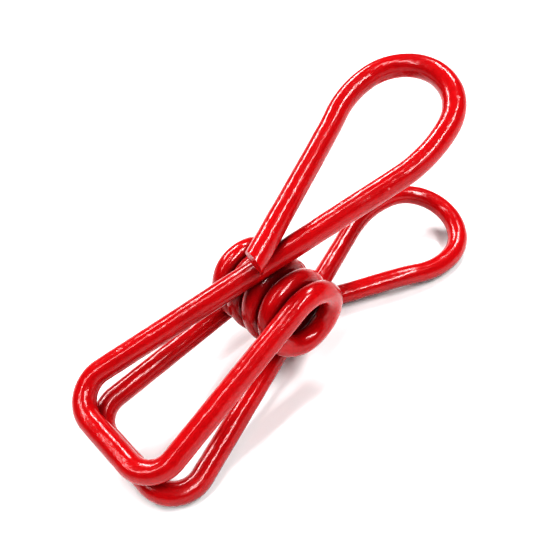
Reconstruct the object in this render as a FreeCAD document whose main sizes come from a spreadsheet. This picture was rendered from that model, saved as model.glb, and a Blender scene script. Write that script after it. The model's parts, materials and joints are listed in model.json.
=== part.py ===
# Sprung laundry clip: one length of vinyl-coated spring wire, bent into two arms with a coil between them.
# Millimetres. +Z up, +X from the coil towards the jaws, the clip lying at rest on its lower arm.
# The origin is the middle of the clip's bounding box, on the surface that it lies on.
import FreeCAD, Part
import math
import os
from itertools import combinations

Vector = FreeCAD.Vector

# name, value, what it is; an angle is in degrees, everything else in millimetres
COMMON_SIZES = [
    ("wire_dia", 3.0, "outside diameter of the coated wire"),
    ("core_dia", 2.0, "diameter of the bare spring steel wire"),
    ("coil_eye_dia", 5.6, "clear hole through the coil"),
    ("turn_gap", 0.4, "added to the wire's diameter for the step from one turn to the next"),
    ("jaw_reach", 27.5, "coil axis to the middle of a jaw bar"),
    ("bar_tilt", 18.9, "slope of both jaw bars across the clip"),
    ("jaw_gap", 0.1, "space between the closed jaw bars"),
    ("jaw_height", 0.55, "height of the jaws' meeting line over the coil axis, at mid-width"),
    ("bend_radius", 4.0, "centreline radius of the jaw corners"),
    ("leg_gap", 0.015, "least space between a leg and the next turn of the coil"),
    ("lever_gap", 0.15, "space between a lever and the coil that it crosses"),
    ("lever_back", 18.8, "coil axis back to the end of the straight lever"),
    ("flare_turn", 30.8, "first, wide bend of a handle loop"),
    ("return_radius", 11.4, "centreline radius of the last bend of a handle loop"),
    ("lift_radius", 20.0, "centreline radius of the small bend that lifts the tail"),
    ("tail_gap", 0.15, "space between the tail and its own lever, where they cross"),
    ("tail_length", 21.7, "straight end of the wire"),
    ("cut_slope", 37.0, "slope of the sheared end of the wire"),
    ("cut_roll", 116.0, "turn of the sheared end's slope about the wire, from level"),
    ("tip_cover", 0.6, "vinyl over the end of the steel"),
    ("opening_angle", 42.0, "how far the clip opens"),
    ("slit_clearance", 1.0, "angle left between two coil pieces with the clip wide open"),
]
# name, value on the upper arm, value on the lower arm, what it is
ARM_SIZES = [
    ("leg_lean", -0.3, 1.9, "how far the leg comes in from the coil to the jaw corner, where there is room"),
    ("bar_width", 15.8, 16.4, "corner to corner along the jaw bar"),
    ("bar_skew", 0.5, -0.4, "how much further forward the far corner is than the near one"),
    ("lever_side", 8.1, 6.9, "end of the straight lever to the middle of the coil"),
    ("handle_roll", 14.5, 24.1, "roll of the handle loop about the lever"),
    ("flare_radius", 16.8, 18.1, "centreline radius of the first bend of the handle loop"),
    ("end_radius", 6.9, 7.1, "centreline radius of the round end of the handle loop"),
    ("end_turn", 152.4, 159.6, "angle of the round end of the handle loop"),
    ("return_turn", 33.4, 35.9, "angle of the last bend of the handle loop"),
]
COIL_TURNS = 4      # full turns that move by themselves; each arm holds a further quarter turn
SHEAR_BLOCK = 4     # side of the block that shears the wire's end, in wire diameters
LEAN_STEP = 0.05    # mm, how much a leg's lean is eased at a time until it clears the coil
VOLUME_ERROR = 0.01     # how far a solid may be from its section times its length

doc = FreeCAD.newDocument("wire_clip")
sheet = doc.addObject("Spreadsheet::Sheet", "sizes")


def fill_sheet():
    rows = list(COMMON_SIZES)
    for name, upper, lower, note in ARM_SIZES:
        rows.append(("upper_" + name, upper, note + ", upper arm"))
        rows.append(("lower_" + name, lower, note + ", lower arm"))
    for number, (name, value, note) in enumerate(rows, start=1):
        sheet.set("A%d" % number, name)
        sheet.set("B%d" % number, str(value))
        sheet.setAlias("B%d" % number, name)
        sheet.set("C%d" % number, note)
    doc.recompute()


def size(name):
    return float(sheet.get(name))


def unit(vector):
    return vector * (1.0 / vector.Length)


def turned(vector, axis, angle):
    return FreeCAD.Rotation(axis, angle).multVec(vector)


class WirePath:
    """Centreline of a stretch of wire: straight runs and round bends that flow into each other."""

    def __init__(self, point, direction):
        self.point = point
        self.direction = unit(direction)
        self.edges = []

    def straight(self, length):
        end = self.point + self.direction * length
        self.edges.append(Part.LineSegment(self.point, end).toShape())
        self.point = end

    def straight_to(self, target):
        self.straight((target - self.point).Length)

    def bend(self, towards, radius, angle):
        """Bend by angle, to the side that towards points to."""
        axis = unit(self.direction.cross(towards))
        centre = self.point + axis.cross(self.direction) * radius
        spoke = self.point - centre
        middle = centre + turned(spoke, axis, angle / 2)
        end = centre + turned(spoke, axis, angle)
        self.edges.append(Part.Arc(self.point, middle, end).toShape())
        self.point = end
        self.direction = turned(self.direction, axis, angle)

    def take(self):
        """Hand over the edges drawn since the last call."""
        edges = self.edges
        self.edges = []
        return edges


# ---- the centreline, with the coil's axis along Y and its middle at the origin ----

def coil_radius():
    return (size("coil_eye_dia") + size("wire_dia")) / 2


def half_turn_count():
    return 2 * COIL_TURNS + 1


def slit_angle():
    """Each slit closes by its share of the opening, so it is that wide and a little more."""
    return size("opening_angle") / (COIL_TURNS + 1) + size("slit_clearance")


def coil_pitch():
    return size("wire_dia") + size("turn_gap")


def coil_start():
    return Vector(0, half_turn_count() * coil_pitch() / 4, coil_radius())


def coil_edges(first, last):
    """The coil from angle first to angle last: flat half turns, each leaning the other way.
    Angle 0 is at the top of the front end, and the coil goes round by way of -X."""
    rise = coil_pitch() / 2
    edges = []
    for number in range(half_turn_count()):
        start = max(first - 180 * number, 0.0)
        end = min(last - 180 * number, 180.0)
        if end - start < 1e-6:
            continue
        side = 1 if number % 2 == 0 else -1
        begin = Vector(0, coil_start().y - rise * number, side * coil_radius())
        centre = Vector(0, begin.y - rise / 2, 0)
        along = Vector(-side, 0, 0)
        spoke = begin - centre
        points = []
        for angle in (start, (start + end) / 2, end):
            turn = math.radians(angle)
            points.append(centre + spoke * math.cos(turn) + along * spoke.Length * math.sin(turn))
        edges.append(Part.Arc(*points).toShape())
    return edges


def arm_coil_angle():
    """How much of the coil is part of one arm."""
    return (180.0 - slit_angle()) / 2


def leave_coil(path, radius, target):
    """Follow the coil's curve until the wire points straight at target."""
    across = target - path.point
    forward = across.dot(path.direction)
    inward = across - path.direction * forward
    drop = inward.Length - radius
    distance = math.hypot(forward, drop)
    angle = math.degrees(math.asin(radius / distance) + math.atan2(drop, forward))
    path.bend(inward, radius, angle)


def round_corner(path, corner, following, radius):
    """Run straight up to a corner and bend round it towards the following point."""
    onward = unit(following - corner)
    turn = math.degrees(path.direction.getAngle(onward))
    setback = radius * math.tan(math.radians(turn / 2))
    path.straight((corner - path.point).Length - setback)
    straight_run = path.take()
    path.bend(onward, radius, turn)
    return straight_run


def tail_lift(path, loop_up, lever_point, lever_heading):
    """The smallest bend out of the loop's plane that carries the tail clear over its own lever."""
    needed = size("wire_dia") + size("tail_gap")
    low, high = 0.0, 45.0
    while high - low > 1e-4:
        angle = (low + high) / 2
        trial = WirePath(path.point, path.direction)
        trial.bend(loop_up, size("lift_radius"), angle)
        common_normal = unit(trial.direction.cross(lever_heading))
        if abs((trial.point - lever_point).dot(common_normal)) < needed:
            low = angle
        else:
            high = angle
    return high


def near_jaw_corner(side, lean):
    """Where the leg would meet the jaw bar if both ran on to a sharp corner."""
    over_axis = size("jaw_height") if side == "upper" else -size("jaw_height")
    tilt = math.radians(size("bar_tilt"))
    stand_off = (size("wire_dia") + size("jaw_gap")) / 2 / math.cos(tilt)
    near_y = coil_start().y - lean
    height = over_axis + stand_off - near_y * math.tan(tilt)
    return Vector(size("jaw_reach") - size(side + "_bar_skew") / 2, near_y, height)


def clear_lean(side):
    """The leg's lean, eased until the leg clears the next turn of the coil."""
    next_turn = Part.Wire(coil_edges(180.0, 540.0))
    lean = size(side + "_leg_lean")
    while lean > -size("wire_dia"):
        corner = near_jaw_corner(side, lean)
        trial = WirePath(coil_start(), Vector(1, 0, 0))
        leave_coil(trial, coil_radius(), corner)
        trial.straight_to(corner)
        gap = Part.Wire(trial.take()).distToShape(next_turn)[0] - size("wire_dia")
        if gap >= size("leg_gap"):
            return lean
        lean -= LEAN_STEP
    raise RuntimeError("the " + side + " leg can't clear the coil")


def arm_sections(side):
    """Named stretches of one arm's centreline, drawn as the upper arm, from the coil to the tail."""
    def own(name):
        return size(side + "_" + name)

    near_corner = near_jaw_corner(side, clear_lean(side))
    bar_rise = own("bar_width") * math.tan(math.radians(size("bar_tilt")))
    far_corner = near_corner + Vector(own("bar_skew"), -own("bar_width"), bar_rise)

    # the lever just clears the coil that it crosses
    clear = coil_radius() + size("wire_dia") + size("lever_gap")
    bearing = math.atan2(far_corner.z, far_corner.x)
    touch = bearing + math.acos(clear / math.hypot(far_corner.x, far_corner.z))
    climb = math.tan(math.pi / 2 - touch)
    lever_end_z = far_corner.z + (far_corner.x + size("lever_back")) * climb
    lever_end = Vector(-size("lever_back"), own("lever_side"), lever_end_z)

    sections = {}
    path = WirePath(coil_start(), Vector(1, 0, 0))
    leave_coil(path, coil_radius(), near_corner)
    sections["coil_end"] = path.take()

    sections["leg"] = round_corner(path, near_corner, far_corner, size("bend_radius"))
    first_corner = path.take()
    bar = round_corner(path, far_corner, lever_end, size("bend_radius"))
    sections["jaw"] = first_corner + bar + path.take()

    path.straight_to(lever_end)
    lever_heading = path.direction
    sections["lever"] = path.take()

    inward = Vector(0, -1, 0) - path.direction * path.direction.dot(Vector(0, -1, 0))
    inward = turned(unit(inward), path.direction, own("handle_roll"))
    loop_up = path.direction.cross(inward)
    if loop_up.z < 0:
        loop_up = loop_up * -1
    loop_axis = path.direction.cross(inward)
    bends = [
        (own("flare_radius"), size("flare_turn")),
        (own("end_radius"), own("end_turn")),
        (size("return_radius"), own("return_turn")),
    ]
    for radius, angle in bends:
        path.bend(loop_axis.cross(path.direction), radius, angle)
    sections["handle"] = path.take()

    lift = tail_lift(path, loop_up, lever_end, lever_heading)
    path.bend(loop_up, size("lift_radius"), lift)
    path.straight(size("tail_length"))
    sections["tail"] = path.take()
    return sections


def half_turned(edges):
    """Turn edges half a turn about the X axis, which takes the upper arm to the lower one."""
    placement = FreeCAD.Placement(Vector(0, 0, 0), FreeCAD.Rotation(Vector(1, 0, 0), 180))
    return placed(edges, placement)


def placed(edges, placement):
    result = []
    for edge in edges:
        copy = edge.copy()
        copy.Placement = placement.multiply(copy.Placement)
        result.append(copy)
    return result


def resting_placement(centreline, lower_edges):
    """Find the three points of the lower arm that the clip lies on, with its weight between them,
    and turn the clip so that they are level, its +X end stays at +X, and the origin is under its middle."""
    weight = Vector(0, 0, 0)
    for edge in centreline:
        weight += edge.CenterOfMass * (edge.Length / sum(other.Length for other in centreline))
    points = []
    for edge in lower_edges:
        spread = 9 if edge.Curve.TypeId == "Part::GeomCircle" else 2
        points += edge.discretize(Number=spread)
    upright = Vector(0, 0, 0)
    for first, second, third in combinations(points, 3):
        normal = (second - first).cross(third - first)
        if normal.Length < 1.0:
            continue
        normal = unit(normal)
        if normal.z < 0:
            normal = normal * -1
        if normal.z < upright.z or min((point - first).dot(normal) for point in points) < -1e-4:
            continue
        foot = weight - normal * (weight - first).dot(normal)
        sides = []
        for begin, end in ((first, second), (second, third), (third, first)):
            sides.append((end - begin).cross(foot - begin).dot(normal) > 0)
        if all(sides) or not any(sides):
            upright = normal
    if upright.Length == 0:
        raise RuntimeError("the lower arm gives the clip nothing to lie on")
    forward = unit(Vector(1, 0, 0) - upright * upright.x)
    sideways = upright.cross(forward)
    turn = FreeCAD.Rotation(forward, sideways, upright, "ZXY").inverted()
    box = Part.Compound(placed(centreline, FreeCAD.Placement(Vector(0, 0, 0), turn))).BoundBox
    base = Vector(-box.Center.x, -box.Center.y, size("wire_dia") / 2 - box.ZMin)
    return FreeCAD.Placement(base, turn)


# ---- solids ----

def add_spine(name, edges):
    spine = doc.addObject("Part::Feature", name + "_path")
    spine.Shape = Part.Wire(edges)
    return spine


def add_round_bar(name, spine, diameter):
    """A solid bar along a path, with its diameter taken from a cell of the sheet."""
    first_edge = spine.Shape.Edges[0]
    start = first_edge.valueAt(first_edge.FirstParameter)
    heading = first_edge.tangentAt(first_edge.FirstParameter)
    profile = doc.addObject("Part::Circle", name + "_profile")
    profile.setExpression("Radius", "sizes." + diameter + " / 2")
    profile.Placement = FreeCAD.Placement(start, FreeCAD.Rotation(Vector(0, 0, 1), heading))
    bar = doc.addObject("Part::Sweep", name)
    bar.Sections = [profile]
    bar.Spine = (spine, ["Edge%d" % (number + 1) for number in range(len(spine.Shape.Edges))])
    bar.Solid = True
    bar.Frenet = False
    return bar


def add_coating(name, edges):
    """A tube of vinyl round the steel, along the given edges."""
    spine = add_spine(name, edges)
    outside = add_round_bar(name + "_outside", spine, "wire_dia")
    inside = add_round_bar(name + "_inside", spine, "core_dia")
    tube = doc.addObject("Part::Cut", name)
    tube.Base = outside
    tube.Tool = inside
    return tube


def add_tail_coating(name, edges, core):
    """The last stretch of coating covers the end of the steel and is sheared off at a slope."""
    spine = add_spine(name, edges)
    outside = add_round_bar(name + "_outside", spine, "wire_dia")
    last_edge = spine.Shape.Edges[-1]
    tip = last_edge.valueAt(last_edge.LastParameter)
    heading = last_edge.tangentAt(last_edge.LastParameter)
    shear = doc.addObject("Part::Box", name + "_shear")
    for edge_name in ("Length", "Width", "Height"):
        shear.setExpression(edge_name, "sizes.wire_dia * %d" % SHEAR_BLOCK)
    shear.Placement = shear_placement(tip, heading)
    trimmed = doc.addObject("Part::Cut", name + "_trimmed")
    trimmed.Base = outside
    trimmed.Tool = shear
    tube = doc.addObject("Part::Cut", name)
    tube.Base = trimmed
    tube.Tool = core
    return tube


def shear_placement(tip, heading):
    """A block whose sloping underside takes off the corner of the wire's end."""
    level = unit(heading.cross(Vector(0, 0, 1)))
    slope_axis = turned(level.cross(heading), heading, size("cut_roll"))
    facing = turned(heading, slope_axis, size("cut_slope"))
    turn = FreeCAD.Rotation(Vector(0, 0, 1), facing)
    corner = turn.multVec(Vector(-1, -1, 0) * (size("wire_dia") * SHEAR_BLOCK / 2))
    back = heading * (size("wire_dia") / 2 * math.tan(math.radians(size("cut_slope"))))
    return FreeCAD.Placement(tip - back + corner, turn)


def core_edges(edges):
    """The steel stops short of the sheared end, under the vinyl."""
    last = edges[-1]
    slope = math.tan(math.radians(size("cut_slope")))
    shorter = (size("wire_dia") + size("core_dia")) / 2 * slope + size("tip_cover")
    start = last.valueAt(last.FirstParameter)
    end = last.valueAt(last.LastParameter) - last.tangentAt(last.LastParameter) * shorter
    return edges[:-1] + [Part.LineSegment(start, end).toShape()]


def reversed_run(edges):
    """The same edges from the other end."""
    result = []
    for edge in reversed(edges):
        if edge.Curve.TypeId == "Part::GeomCircle":
            middle = edge.valueAt((edge.FirstParameter + edge.LastParameter) / 2)
            curve = Part.Arc(edge.valueAt(edge.LastParameter), middle, edge.valueAt(edge.FirstParameter))
        else:
            curve = Part.LineSegment(edge.valueAt(edge.LastParameter), edge.valueAt(edge.FirstParameter))
        result.append(curve.toShape())
    return result


def add_arm(side, sections, coil_part, rest):
    """Steel and coating of one arm, starting in the coil and ending at the tail."""
    sections = dict(sections)
    sections["coil_end"] = reversed_run(coil_part) + sections["coil_end"]
    whole = []
    for edges in sections.values():
        whole += edges
    core = add_round_bar(side + "_wire", add_spine(side + "_wire", placed(core_edges(whole), rest)), "core_dia")
    parts = [core]
    for name, edges in sections.items():
        node = side + "_" + name + "_coating"
        if name == "tail":
            parts.append(add_tail_coating(node, placed(edges, rest), core))
        else:
            parts.append(add_coating(node, placed(edges, rest)))
    return parts


def check_features():
    for item in doc.Objects:
        if "Invalid" in item.State or "Error" in item.State:
            raise RuntimeError(item.Name + " failed: " + ", ".join(item.State))


def check_part(part):
    """One valid solid, with the volume of its section times its length."""
    shape = part.Shape
    if shape.isNull() or not shape.isValid() or len(shape.Solids) != 1:
        raise RuntimeError(part.Name + " is not one valid solid")
    section = math.pi / 4 * size("core_dia") ** 2
    if "_coating" in part.Name:
        section = math.pi / 4 * size("wire_dia") ** 2 - section
    expected = section * doc.getObject(part.Name + "_path").Shape.Length
    allowed = expected * VOLUME_ERROR
    if "_tail_" in part.Name:
        allowed += math.pi / 4 * size("wire_dia") ** 3      # its sheared and covered end
    if abs(shape.Volume - expected) > allowed:
        raise RuntimeError("%s has %.1f mm3, not %.1f" % (part.Name, shape.Volume, expected))


fill_sheet()
coil_total = 180.0 * half_turn_count()
upper_coil = coil_edges(0.0, arm_coil_angle())
lower_coil = coil_edges(coil_total - arm_coil_angle(), coil_total)
upper_sections = arm_sections("upper")
lower_sections = {}
for section, edges in arm_sections("lower").items():
    lower_sections[section] = half_turned(edges)

lower_line = [edge for edges in lower_sections.values() for edge in edges]
upper_line = [edge for edges in upper_sections.values() for edge in edges]
rest = resting_placement(upper_line + coil_edges(0.0, coil_total) + lower_line, lower_line)

parts = add_arm("upper", upper_sections, upper_coil, rest)
parts += add_arm("lower", lower_sections, reversed_run(lower_coil), rest)
for turn in range(COIL_TURNS):
    start = arm_coil_angle() + slit_angle() + 360.0 * turn
    edges = placed(coil_edges(start, start + 360.0 - slit_angle()), rest)
    name = "coil_wire_%d" % (turn + 1)
    parts.append(add_round_bar(name, add_spine(name, edges), "core_dia"))
    parts.append(add_coating("coil_coating_%d" % (turn + 1), edges))

doc.recompute()
check_features()
os.makedirs("parts", exist_ok=True)
for part in parts:
    check_part(part)
    part.Label = part.Name
    part.Shape.exportStep("parts/" + part.Label + ".step")
    print("%-26s %8.1f mm3" % (part.Label, part.Shape.Volume))
hinge_point = rest.multVec(Vector(0, 0, 0))
hinge_axis = rest.Rotation.multVec(Vector(0, -1, 0))
print("coil middle", hinge_point, "hinge axis", hinge_axis)
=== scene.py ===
import json
import math
import bpy
import numpy as np
from mathutils import Matrix, Quaternion, Vector


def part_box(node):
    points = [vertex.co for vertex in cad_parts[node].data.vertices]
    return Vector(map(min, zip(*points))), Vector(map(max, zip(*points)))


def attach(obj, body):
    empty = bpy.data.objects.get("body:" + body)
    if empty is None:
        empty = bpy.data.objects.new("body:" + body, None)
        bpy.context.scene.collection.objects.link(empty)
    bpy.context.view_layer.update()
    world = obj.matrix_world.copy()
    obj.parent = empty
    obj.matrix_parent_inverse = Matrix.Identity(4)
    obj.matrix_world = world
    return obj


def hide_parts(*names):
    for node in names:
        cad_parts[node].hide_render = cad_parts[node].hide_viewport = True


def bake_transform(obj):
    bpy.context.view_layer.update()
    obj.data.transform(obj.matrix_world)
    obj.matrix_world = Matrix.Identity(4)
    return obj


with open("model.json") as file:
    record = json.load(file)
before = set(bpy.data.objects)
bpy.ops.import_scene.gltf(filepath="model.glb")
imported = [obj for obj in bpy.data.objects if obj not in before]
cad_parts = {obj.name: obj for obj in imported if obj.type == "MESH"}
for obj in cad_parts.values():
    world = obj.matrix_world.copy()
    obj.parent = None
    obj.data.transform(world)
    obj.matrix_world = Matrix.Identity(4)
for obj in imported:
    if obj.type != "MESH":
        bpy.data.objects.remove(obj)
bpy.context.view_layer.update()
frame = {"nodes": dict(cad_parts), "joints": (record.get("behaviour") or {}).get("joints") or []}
mm = 0.001

wire = {
    "radius": 1.5 * mm,
    "around": 56,                   # points round the wire
    "stepTurn": 3.0,                # degrees of bend to one ring
    "stepRun": 0.5 * mm,            # length of straight wire to one ring
    "unevenness": 0.035 * mm,
    "unevenSize": 3.2 * mm,
    "sharpEdge": 40,                # degrees, so that only the sheared ends have an edge
}
coil = {
    "radius": 4.3 * mm,
    "pitch": 3.4 * mm,
    "halfTurns": 9,
    "reachIntoLeg": 4.0 * mm,       # straight wire that belongs to the coil piece at each end
    "upperHold": 6.1 * mm,          # past this, along the coil, it moves with the upper arm
    "lowerHold": 5.8 * mm,          # and past this, the other way, with the lower arm
}
arm = {
    "jawReach": 27.5 * mm,
    "barTilt": 18.9,
    "jawGap": 0.1 * mm,
    "jawHeight": 0.55 * mm,
    "bendRadius": 4.0 * mm,
    "leverGap": 0.15 * mm,
    "leverBack": 18.8 * mm,
    "flareTurn": 30.8,
    "returnRadius": 11.4 * mm,
    "liftRadius": 20.0 * mm,
    "steepestLift": 45.0,
    "tailGap": 0.15 * mm,
    "tailLength": 21.7 * mm,
}
upperArm = {
    "heightSign": 1,
    "legLean": -0.3 * mm,
    "barWidth": 15.8 * mm,
    "barSkew": 0.5 * mm,
    "leverSide": 8.1 * mm,
    "handleRoll": 14.5,
    "flareRadius": 16.8 * mm,
    "endRadius": 6.9 * mm,
    "endTurn": 152.4,
    "returnTurn": 33.4,
}
lowerArm = {
    "heightSign": -1,
    "legLean": 1.9 * mm,
    "barWidth": 16.4 * mm,
    "barSkew": -0.4 * mm,
    "leverSide": 6.9 * mm,
    "handleRoll": 24.1,
    "flareRadius": 18.1 * mm,
    "endRadius": 7.1 * mm,
    "endTurn": 159.6,
    "returnTurn": 35.9,
}


# the run of the wire, in the coil's own axes: X to the jaws, Y along the coil
def turned(vector, axis, degrees):
    return Quaternion(axis, math.radians(degrees)) @ vector


class Route:
    def __init__(self, point, heading):
        self.point = point.copy()
        self.heading = heading.normalized()
        self.moves = []

    def straight(self, length):
        self.moves.append(("run", self.heading.copy(), length))
        self.point = self.point + self.heading * length

    def bend(self, towards, radius, degrees):
        axis = self.heading.cross(towards).normalized()
        centre = self.point + axis.cross(self.heading) * radius
        self.moves.append(("bend", axis, centre, degrees))
        self.point = centre + turned(self.point - centre, axis, degrees)
        self.heading = turned(self.heading, axis, degrees)

    def roundCorner(self, corner, following, radius):
        onward = (following - corner).normalized()
        degrees = math.degrees(self.heading.angle(onward))
        setback = radius * math.tan(math.radians(degrees / 2))
        self.straight((corner - self.point).length - setback)
        self.bend(onward, radius, degrees)


def coilStart():
    return Vector((0, coil["halfTurns"] * coil["pitch"] / 4, coil["radius"]))


# the two corners of a jaw: where the leg meets the bar, and where the bar meets the lever
def jawCorners(side):
    tilt = math.radians(arm["barTilt"])
    standOff = (2 * wire["radius"] + arm["jawGap"]) / 2 / math.cos(tilt)
    nearY = coilStart().y - side["legLean"]
    nearZ = side["heightSign"] * arm["jawHeight"] + standOff - nearY * math.tan(tilt)
    near = Vector((arm["jawReach"] - side["barSkew"] / 2, nearY, nearZ))
    rise = side["barWidth"] * math.tan(tilt)
    return near, near + Vector((side["barSkew"], -side["barWidth"], rise))


# goes on round the coil until the wire points at the target
def leaveCoil(route, target):
    across = target - route.point
    forward = across.dot(route.heading)
    inward = across - route.heading * forward
    drop = inward.length - coil["radius"]
    tangent = math.asin(coil["radius"] / math.hypot(forward, drop))
    route.bend(inward, coil["radius"], math.degrees(tangent + math.atan2(drop, forward)))


# how far the tail is lifted so that it lies on its own lever without cutting into it
def tailLift(route, loopUp, leverPoint, leverHeading):
    needed = 2 * wire["radius"] + arm["tailGap"]
    closeEnough = 1e-4
    low, high = 0.0, arm["steepestLift"]
    while high - low > closeEnough:
        degrees = (low + high) / 2
        trial = Route(route.point, route.heading)
        trial.bend(loopUp, arm["liftRadius"], degrees)
        commonNormal = trial.heading.cross(leverHeading).normalized()
        if abs((trial.point - leverPoint).dot(commonNormal)) < needed:
            low = degrees
        else:
            high = degrees
    return high


# an arm: the lead off the coil, the rest of the arm, and the middle of its lever
def armRoute(side):
    near, far = jawCorners(side)
    lead = Route(coilStart(), Vector((1, 0, 0)))
    leaveCoil(lead, near)
    lead.straight(coil["reachIntoLeg"])
    route = Route(lead.point, lead.heading)
    route.roundCorner(near, far, arm["bendRadius"])

    clear = coil["radius"] + 2 * wire["radius"] + arm["leverGap"]
    touch = math.atan2(far.z, far.x) + math.acos(clear / math.hypot(far.x, far.z))
    leverEndZ = far.z + (far.x + arm["leverBack"]) * math.tan(math.pi / 2 - touch)
    leverEnd = Vector((-arm["leverBack"], side["leverSide"], leverEndZ))
    route.roundCorner(far, leverEnd, arm["bendRadius"])
    leverStart = route.point.copy()
    leverHeading = route.heading.copy()
    route.straight((leverEnd - route.point).length)

    inward = Vector((0, -1, 0)) - leverHeading * leverHeading.dot(Vector((0, -1, 0)))
    inward = turned(inward.normalized(), leverHeading, side["handleRoll"])
    loopAxis = leverHeading.cross(inward)
    loopUp = loopAxis if loopAxis.z > 0 else -loopAxis
    loops = ((side["flareRadius"], arm["flareTurn"]), (side["endRadius"], side["endTurn"]),
             (arm["returnRadius"], side["returnTurn"]))
    for radius, degrees in loops:
        route.bend(loopAxis.cross(route.heading), radius, degrees)
    route.bend(loopUp, arm["liftRadius"], tailLift(route, loopUp, leverEnd, leverHeading))
    route.straight(arm["tailLength"])
    return lead, route, (leverStart + leverEnd) / 2


# the lower arm is laid out like the upper one, then turned half a turn about X
def opposite(vector):
    return Vector((vector.x, -vector.y, -vector.z))


def oppositeMoves(moves):
    out = []
    for move in moves:
        if move[0] == "run":
            out.append(("run", opposite(move[1]), move[2]))
        else:
            out.append(("bend", opposite(move[1]), opposite(move[2]), move[3]))
    return out


def backwards(moves):
    out = []
    for move in reversed(moves):
        if move[0] == "run":
            out.append(("run", -move[1], move[2]))
        else:
            out.append(("bend", -move[1], move[2], move[3]))
    return out


# each half turn of the coil is a flat bend that also steps half a pitch along
def coilMoves():
    route = Route(coilStart(), Vector((-1, 0, 0)))
    for number in range(coil["halfTurns"]):
        side = 1 if number % 2 == 0 else -1
        across = Vector((0, -coil["pitch"] / 2, -side * 2 * coil["radius"]))
        route.bend(across, across.length / 2, 180)
    return route.moves


# the coil's axes in the frame: the hinge gives the axis, the upper lever the turn about it
hinge = next(joint for joint in frame["joints"] if joint["name"] == "jaw_hinge")
hingePoint = Vector(hinge["pos_m"])
coilY = -Vector(hinge["axis"]).normalized()
levelX = (Vector((1, 0, 0)) - coilY * coilY.x).normalized()
upperLead, upperRoute, leverMiddle = armRoute(upperArm)
lowerLead, lowerRoute = armRoute(lowerArm)[:2]


def placeAbout(degrees):
    coilX = turned(levelX, coilY, degrees)
    axes = Matrix((coilX, coilY, coilX.cross(coilY))).transposed().to_4x4()
    return Matrix.Translation(hingePoint) @ axes


def middleOf(node):
    low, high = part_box(node)
    return (Vector(low) + Vector(high)) / 2


def bearing(point):
    local = placeAbout(0).inverted() @ point
    return math.atan2(local.z, local.x)


built = math.atan2(leverMiddle.z, leverMiddle.x)
place = placeAbout(math.degrees(built - bearing(middleOf("upper_lever_coating"))))
print("coil axes set", [round(v, 5) for v in place.col[0][:3]])


def placedPoint(point):
    return place @ point


def placedWay(vector):
    return place.to_3x3() @ vector


# modelling: a ring is extruded along the straights and spun round the bends
def deselectAll():
    if bpy.context.object and bpy.context.object.mode != "OBJECT":
        bpy.ops.object.mode_set(mode="OBJECT")
    bpy.ops.object.select_all(action="DESELECT")


def only(piece):
    deselectAll()
    piece.select_set(True)
    bpy.context.view_layer.objects.active = piece


class Ring:
    def __init__(self, centre, heading, side, along):
        self.centre = centre
        self.heading = heading
        self.side = side
        self.along = along      # length of wire from the upper end of the coil piece


def extrudeRun(rings, move, way):
    last = rings[-1]
    count = max(1, round(move[2] / wire["stepRun"]))
    step = placedWay(move[1]) * (move[2] / count)
    for number in range(1, count + 1):
        bpy.ops.mesh.extrude_region_move(TRANSFORM_OT_translate={"value": step})
        rings.append(Ring(last.centre + step * number, last.heading, last.side,
                          last.along + way * step.length * number))


def spinBend(rings, move, way):
    last = rings[-1]
    axis, centre, degrees = placedWay(move[1]), placedPoint(move[2]), move[3]
    count = max(2, round(degrees / wire["stepTurn"]))
    length = (last.centre - centre).length * math.radians(degrees) / count
    bpy.ops.mesh.spin(steps=count, angle=-math.radians(degrees), center=centre, axis=axis,
                      use_auto_merge=False)     # spin turns against the axis it is given
    for number in range(1, count + 1):
        part = degrees * number / count
        rings.append(Ring(centre + turned(last.centre - centre, axis, part),
                          turned(last.heading, axis, part), turned(last.side, axis, part),
                          last.along + way * length * number))


def bendWire(name, first, moves, way):
    deselectAll()
    across = first.heading.cross(first.side)
    turn = Matrix((first.side, across, first.heading)).transposed()
    bpy.ops.mesh.primitive_circle_add(vertices=wire["around"], radius=wire["radius"],
                                      location=first.centre, rotation=turn.to_euler())
    piece = bpy.context.object
    piece.name = name
    piece.data.name = name
    only(piece)
    bpy.ops.object.transform_apply(location=True, rotation=True, scale=True)
    bpy.ops.object.mode_set(mode="EDIT")
    bpy.ops.mesh.select_all(action="SELECT")
    rings = [first]
    for move in moves:
        if move[0] == "run":
            extrudeRun(rings, move, way)
        else:
            spinBend(rings, move, way)
    bpy.ops.object.mode_set(mode="OBJECT")
    print(name, "bent,", len(rings), "rings")
    return piece, rings


# each point's place across and along the wire, which the vinyl's patterns follow round the bends
def writeWireCoord(piece, rings, way):
    points = np.empty(len(piece.data.vertices) * 3)
    piece.data.vertices.foreach_get("co", points)
    points = points.reshape(-1, wire["around"], 3)
    centres = np.array([ring.centre for ring in rings])[:, None, :]
    sides = np.array([ring.side for ring in rings])[:, None, :]
    acrosses = np.array([ring.heading.cross(ring.side) * way for ring in rings])[:, None, :]
    offsets = points - centres
    coord = np.empty_like(points)
    coord[..., 0] = (offsets * sides).sum(axis=2)
    coord[..., 1] = (offsets * acrosses).sum(axis=2)
    coord[..., 2] = np.array([ring.along for ring in rings])[:, None]
    layer = piece.data.attributes.new("wireCoord", "FLOAT_VECTOR", "POINT")
    layer.data.foreach_set("vector", coord.ravel())


def roughenSkin(piece):
    texture = bpy.data.textures.new(piece.name + "Unevenness", "CLOUDS")
    texture.noise_scale = wire["unevenSize"]
    modifier = piece.modifiers.new("unevenness", "DISPLACE")
    modifier.texture = texture
    modifier.texture_coords = "LOCAL"
    modifier.strength = 2 * wire["unevenness"]
    modifier.mid_level = 0.5
    only(piece)
    bpy.ops.object.modifier_apply(modifier=modifier.name)


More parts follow.
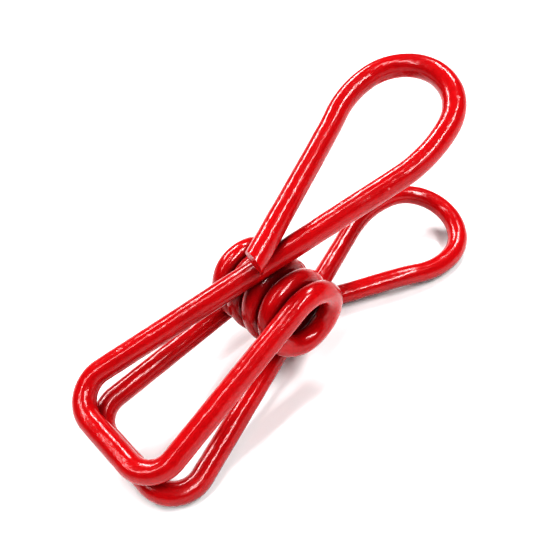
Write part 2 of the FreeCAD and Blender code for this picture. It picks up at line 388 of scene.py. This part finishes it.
def closeEnds(piece):
    only(piece)
    bpy.ops.object.mode_set(mode="EDIT")
    bpy.ops.mesh.select_all(action="SELECT")
    bpy.ops.mesh.fill_holes(sides=0)
    bpy.ops.mesh.select_all(action="SELECT")
    bpy.ops.mesh.normals_make_consistent(inside=False)
    bpy.ops.object.mode_set(mode="OBJECT")


shear = {
    # each cut: its slope, its turn about the wire, how far back from the wire's end it starts
    "cuts": ((27.0, 158.0, 1.3 * mm), (42.0, 196.0, 0.9 * mm)),
    "reach": 3,                     # wire radii at the end that the cuts may touch
}


def shearTip(piece, rings):
    tip = rings[-1]
    level = tip.heading.cross(Vector((0, 0, 1))).normalized()
    ringsCut = shear["reach"] * round(wire["radius"] / wire["stepRun"])
    for slope, roll, back in shear["cuts"]:
        hingeLine = turned(level.cross(tip.heading), tip.heading, roll)
        facing = turned(tip.heading, hingeLine, slope)
        only(piece)
        bpy.ops.object.mode_set(mode="EDIT")
        bpy.ops.mesh.select_all(action="DESELECT")
        bpy.ops.object.mode_set(mode="OBJECT")
        firstCut = len(piece.data.vertices) - ringsCut * wire["around"]
        for vertex in piece.data.vertices:
            vertex.select = vertex.index >= firstCut
        bpy.ops.object.mode_set(mode="EDIT")
        bpy.ops.mesh.bisect(plane_co=tip.centre - tip.heading * back, plane_no=facing,
                            use_fill=True, clear_outer=True)
        bpy.ops.object.mode_set(mode="OBJECT")


def finishWire(piece):
    only(piece)
    bpy.ops.object.shade_smooth_by_angle(angle=math.radians(wire["sharpEdge"]))
    piece.data.materials.clear()
    piece.data.materials.append(redVinyl)


# shader maths: an expression on sockets adds its own nodes to Shade.tree
class Shade:
    tree = None

    def __init__(self, socket):
        self.socket = socket

    def math(self, operation, first, second):
        return addNode("ShaderNodeMath", {"operation": operation}, [first, second])

    def __add__(self, other):
        return self.math("ADD", self, other)

    def __radd__(self, other):
        return self.math("ADD", other, self)

    def __sub__(self, other):
        return self.math("SUBTRACT", self, other)

    def __rsub__(self, other):
        return self.math("SUBTRACT", other, self)

    def __mul__(self, other):
        return self.math("MULTIPLY", self, other)

    def __rmul__(self, other):
        return self.math("MULTIPLY", other, self)


def addNode(kind, settings=None, values=None, out=0):
    node = Shade.tree.nodes.new(kind)
    for key, value in (settings or {}).items():
        setattr(node, key, value)
    pairs = values.items() if isinstance(values, dict) else enumerate(values or [])
    for key, value in pairs:
        if isinstance(value, Shade):
            Shade.tree.links.new(value.socket, node.inputs[key])
        else:
            node.inputs[key].default_value = value
    return Shade(node.outputs[out]) if node.outputs else node


def newMaterial(name):
    material = bpy.data.materials.new(name)
    material.use_nodes = True
    Shade.tree = material.node_tree
    Shade.tree.nodes.clear()
    return material


def ramp(value, low, high):
    return addNode("ShaderNodeMapRange", {"interpolation_type": "SMOOTHSTEP"},
                   {"Value": value, "From Min": low, "From Max": high})


def stretched(coord, along):
    return addNode("ShaderNodeMapping", {}, {"Vector": coord, "Scale": (1.0, 1.0, along)})


def noise(coord, scale, detail=2.0, rough=0.5):
    return addNode("ShaderNodeTexNoise", {},
                   {"Vector": coord, "Scale": scale, "Detail": detail, "Roughness": rough})


def mixColour(factor, first, second):
    return addNode("ShaderNodeMix", {"data_type": "RGBA"}, {0: factor, 6: first, 7: second}, out=2)


def bump(height, strength, distance, below=None):
    values = {"Height": height, "Strength": strength, "Distance": distance}
    if below:
        values["Normal"] = below
    return addNode("ShaderNodeBump", {}, values)


vinyl = {
    "red": (0.47, 0.0050, 0.0085, 1),
    "deepRed": (0.33, 0.0020, 0.0045, 1),
    "paintedShade": (0.11, 0.0008, 0.0040, 1),    # painted shade between the coil's turns, under crossing wires and in other hollows
    "dust": (0.75, 0.30, 0.30, 1),
    "paintedShadeReach": 6 * mm,
    "paintedShadeEdge": (0.15, 0.80),
    # a pattern's scale is in repeats to the metre, its stretch is along the wire
    "cloudScale": 160, "cloudEdge": (0.35, 0.7), "cloudShare": 0.40,
    "mottleScale": 1900, "mottleEdge": (0.42, 0.62), "mottleShare": 0.35,
    "scuffScale": 700, "scuffStretch": 0.35, "scuffEdge": (0.60, 0.72),
    "speckScale": 420, "speckEdge": (0.11, 0.07),
    "rareScale": 260, "rareEdge": (0.58, 0.66), "nickShare": 0.5,
    "dieLineScale": 5200, "dieLineStretch": 0.03, "dieLineStrength": 0.14,
    "dentScale": 900, "dentStretch": 0.55, "dentStrength": 0.9, "dentDepth": 0.12 * mm,
    "peelScale": 3400, "peelStretch": 0.6, "peelStrength": 0.5,
    "fineDepth": 0.02 * mm,
    "nickStrength": 0.6, "nickDepth": 0.04 * mm,
    "roughness": 0.17,
    "cloudRoughness": 0.05,
    "scuffRoughness": 0.34,
    "gloss": {"IOR": 1.42, "Coat Weight": 0.22, "Coat Roughness": 0.05, "Coat IOR": 1.5},
}


def makeVinyl():
    material = newMaterial("redVinyl")
    coord = addNode("ShaderNodeAttribute", {"attribute_name": "wireCoord"}, {}, out=1)
    cloudy = ramp(noise(coord, vinyl["cloudScale"], 3), *vinyl["cloudEdge"])
    dieLines = noise(stretched(coord, vinyl["dieLineStretch"]), vinyl["dieLineScale"])
    dents = noise(stretched(coord, vinyl["dentStretch"]), vinyl["dentScale"], 3, 0.6)
    scuffs = ramp(noise(stretched(coord, vinyl["scuffStretch"]), vinyl["scuffScale"], 5, 0.65),
                  *vinyl["scuffEdge"])
    cells = addNode("ShaderNodeTexVoronoi", {}, {"Vector": coord, "Scale": vinyl["speckScale"]})
    rare = ramp(noise(coord, vinyl["rareScale"], 1), *vinyl["rareEdge"])
    nicks = ramp(cells, *vinyl["speckEdge"]) * rare
    mottle = ramp(noise(coord, vinyl["mottleScale"], 4, 0.7), *vinyl["mottleEdge"])
    peel = noise(stretched(coord, vinyl["peelStretch"]), vinyl["peelScale"], 2, 0.6)

    deep = cloudy * vinyl["cloudShare"] + mottle * vinyl["mottleShare"]
    colour = mixColour(deep, vinyl["red"], vinyl["deepRed"])
    # painted shade: where ambient occlusion finds other surfaces within 6 mm, the red is mixed
    # towards a dark maroon. This happens in the coil's turns, where the wires cross and in other
    # hollows
    openness = addNode("ShaderNodeAmbientOcclusion", {"samples": 8},
                       {"Distance": vinyl["paintedShadeReach"]}, out=1)
    colour = mixColour(ramp(openness, *vinyl["paintedShadeEdge"]), vinyl["paintedShade"], colour)
    colour = mixColour(nicks * vinyl["nickShare"], colour, vinyl["dust"])
    scuffed = scuffs * (vinyl["scuffRoughness"] - vinyl["roughness"])
    roughness = vinyl["roughness"] + cloudy * vinyl["cloudRoughness"] + scuffed

    dented = bump(dents, vinyl["dentStrength"], vinyl["dentDepth"])
    peeled = bump(peel, vinyl["peelStrength"], vinyl["fineDepth"], dented)
    lined = bump(dieLines, vinyl["dieLineStrength"], vinyl["fineDepth"], peeled)
    nicked = bump(1 - nicks, vinyl["nickStrength"], vinyl["nickDepth"], lined)
    shader = addNode("ShaderNodeBsdfPrincipled", {}, {
        "Base Color": colour, "Roughness": roughness, "Normal": nicked, **vinyl["gloss"]})
    addNode("ShaderNodeOutputMaterial", {}, {"Surface": shader})
    return material


steel = {
    "bright": (0.56, 0.56, 0.58, 1),
    "dull": (0.34, 0.34, 0.36, 1),
    "patchScale": 220, "patchEdge": (0.4, 0.65),
    "drawnScale": 2600, "drawnStrength": 0.2, "drawnDepth": 0.02 * mm,
    "roughness": 0.28,
    "drawnRoughness": 0.18,
}


def makeSteel():
    material = newMaterial("drawnSpringSteel")
    coord = addNode("ShaderNodeTexCoord", {}, {}, out=3)
    drawn = noise(coord, steel["drawnScale"], 4, 0.6)
    patches = ramp(noise(coord, steel["patchScale"], 3), *steel["patchEdge"])
    colour = mixColour(patches, steel["bright"], steel["dull"])
    roughness = steel["roughness"] + drawn * steel["drawnRoughness"]
    lined = bump(drawn, steel["drawnStrength"], steel["drawnDepth"])
    shader = addNode("ShaderNodeBsdfPrincipled", {}, {
        "Base Color": colour, "Roughness": roughness, "Metallic": 1.0, "Normal": lined})
    addNode("ShaderNodeOutputMaterial", {}, {"Surface": shader})
    return material


redVinyl = makeVinyl()
springSteel = makeSteel()
print("materials made")

# the coil piece is bent first, because both arms go on from its ends
upperRing = Ring(placedPoint(upperLead.point), placedWay(upperLead.heading), None, 0.0)
upperRing.side = upperRing.heading.orthogonal().normalized()
backRing = Ring(upperRing.centre, -upperRing.heading, upperRing.side, 0.0)
coilRun = backwards(upperLead.moves) + coilMoves() + oppositeMoves(lowerLead.moves)
coilCoating, coilRings = bendWire("coilCoating", backRing, coilRun, -1)
upperCoating, upperRings = bendWire("upperCoating", upperRing, upperRoute.moves, 1)
lowerMoves = oppositeMoves(lowerRoute.moves)
lowerCoating, lowerRings = bendWire("lowerCoating", coilRings[-1], lowerMoves, -1)

for piece, rings, way in ((coilCoating, coilRings, -1), (upperCoating, upperRings, 1),
                          (lowerCoating, lowerRings, -1)):
    writeWireCoord(piece, rings, way)
    roughenSkin(piece)
    closeEnds(piece)
shearTip(upperCoating, upperRings)
shearTip(lowerCoating, lowerRings)
for piece in (coilCoating, upperCoating, lowerCoating):
    finishWire(piece)
print("wire ends closed and sheared")

stretches = ("leg", "jaw", "lever", "handle", "tail")
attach(upperCoating, "upper_arm")
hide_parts(*["upper_" + name + "_coating" for name in stretches])
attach(lowerCoating, "lower_arm")
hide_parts(*["lower_" + name + "_coating" for name in stretches])
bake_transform(coilCoating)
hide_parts("upper_coil_end_coating", "lower_coil_end_coating",
            *["coil_coating_" + str(number) for number in (1, 2, 3, 4)])

for name in frame["nodes"]:
    node = bpy.data.objects.get(name)
    if node and "wire" in name:
        for slot in node.material_slots:
            slot.material = springSteel
print("steel given its finish")

# table, lamps and camera
studio = {
    "floorSize": 6.0,
    "floorWhite": (0.86, 0.86, 0.86, 1),
    "floorRoughness": 0.5,
    "grainRoughness": 0.1,
    "grainScale": 90,
    "nearGlow": (0.05, 0.05, 0.05, 1),
    "farGlow": (0.88, 0.88, 0.88, 1),       # far out, where the lamps don't reach
    "glowEdge": (0.35, 1.1),                # metres from the middle
    "horizon": (0.75, 0.75, 0.75, 1),
    "surround": (0.045, 0.045, 0.046, 1),
    "horizonEdge": (0.08, 0.20),
    # each lamp: its middle, the way its length runs, its power, length and width
    "lamps": {
        "frontStrip": ((-0.08, 0.31, 0.50), (0.78, 0.62, 0), 2.4, 0.46, 0.065),
        "backStrip": ((0.0, -0.50, 0.50), (1, 0, 0), 3.1, 0.46, 0.11),
        "topStrip": ((0.24, 0.0, 0.50), (1, 0, 0), 0.9, 0.40, 0.045),
        "handleBox": ((-0.33, -0.10, 0.52), (0, 1, 0), 1.2, 0.16, 0.11),
    },
}


def makeFloor():
    deselectAll()
    bpy.ops.mesh.primitive_plane_add(size=studio["floorSize"], location=(0, 0, 0))
    floor = bpy.context.object
    floor.name = "paleTable"
    material = newMaterial("paleTable")
    coord = addNode("ShaderNodeTexCoord", {}, {}, out=3)
    grain = noise(coord, studio["grainScale"], 4)
    distance = addNode("ShaderNodeVectorMath", {"operation": "LENGTH"}, [coord], out=1)
    glow = mixColour(ramp(distance, *studio["glowEdge"]), studio["nearGlow"], studio["farGlow"])
    shader = addNode("ShaderNodeBsdfPrincipled", {}, {
        "Base Color": studio["floorWhite"],
        "Roughness": studio["floorRoughness"] + grain * studio["grainRoughness"],
        "Emission Color": glow, "Emission Strength": 1.0})
    addNode("ShaderNodeOutputMaterial", {}, {"Surface": shader})
    floor.data.materials.append(material)


# a flat lamp that faces the middle of the table
def makeLamp(name, middle, direction, power, length, width):
    light = bpy.data.lights.new(name, "AREA")
    light.shape = "RECTANGLE"
    light.size = length
    light.size_y = width
    light.energy = power
    lamp = bpy.data.objects.new(name, light)
    bpy.context.scene.collection.objects.link(lamp)
    back = Vector(middle).normalized()
    side = (Vector(direction) - back * Vector(direction).dot(back)).normalized()
    turn = Matrix((side, back.cross(side), back)).transposed().to_4x4()
    lamp.matrix_world = Matrix.Translation(middle) @ turn


# pale just above the table's edge, dark overhead so that the lamps show as clean streaks
def makeSurround():
    world = bpy.data.worlds.new("studio")
    bpy.context.scene.world = world
    world.use_nodes = True
    Shade.tree = world.node_tree
    height = addNode("ShaderNodeSeparateXYZ", {}, [addNode("ShaderNodeTexCoord")], out=2)
    sky = mixColour(ramp(height, *studio["horizonEdge"]), studio["horizon"], studio["surround"])
    Shade.tree.links.new(sky.socket, Shade.tree.nodes["Background"].inputs["Color"])


makeFloor()
for name, lamp in studio["lamps"].items():
    makeLamp(name, *lamp)
makeSurround()
bpy.context.scene.view_settings.view_transform = "Standard"
bpy.context.scene.view_settings.look = "High Contrast"

view = {
    "place": (35.134 * mm, 51.101 * mm, 70.103 * mm),
    "right": (-0.76285, 0.62925, -0.14867),
    "up": (-0.51798, -0.45712, 0.72301),
    "lens": 41.16,
    "sensorWidth": 36,
    "nearest": 1 * mm,
    "farthest": 20,
}


def makeCamera():
    camera = bpy.data.cameras.new("camera")
    camera.lens = view["lens"]
    camera.sensor_width = view["sensorWidth"]
    camera.clip_start = view["nearest"]
    camera.clip_end = view["farthest"]
    holder = bpy.data.objects.new("camera", camera)
    bpy.context.scene.collection.objects.link(holder)
    right = Vector(view["right"]).normalized()
    up = Vector(view["up"])
    up = (up - right * up.dot(right)).normalized()
    turn = Matrix((right, up, right.cross(up))).transposed().to_4x4()
    holder.matrix_world = Matrix.Translation(view["place"]) @ turn
    bpy.context.scene.camera = holder


makeCamera()
print("lights and camera placed")
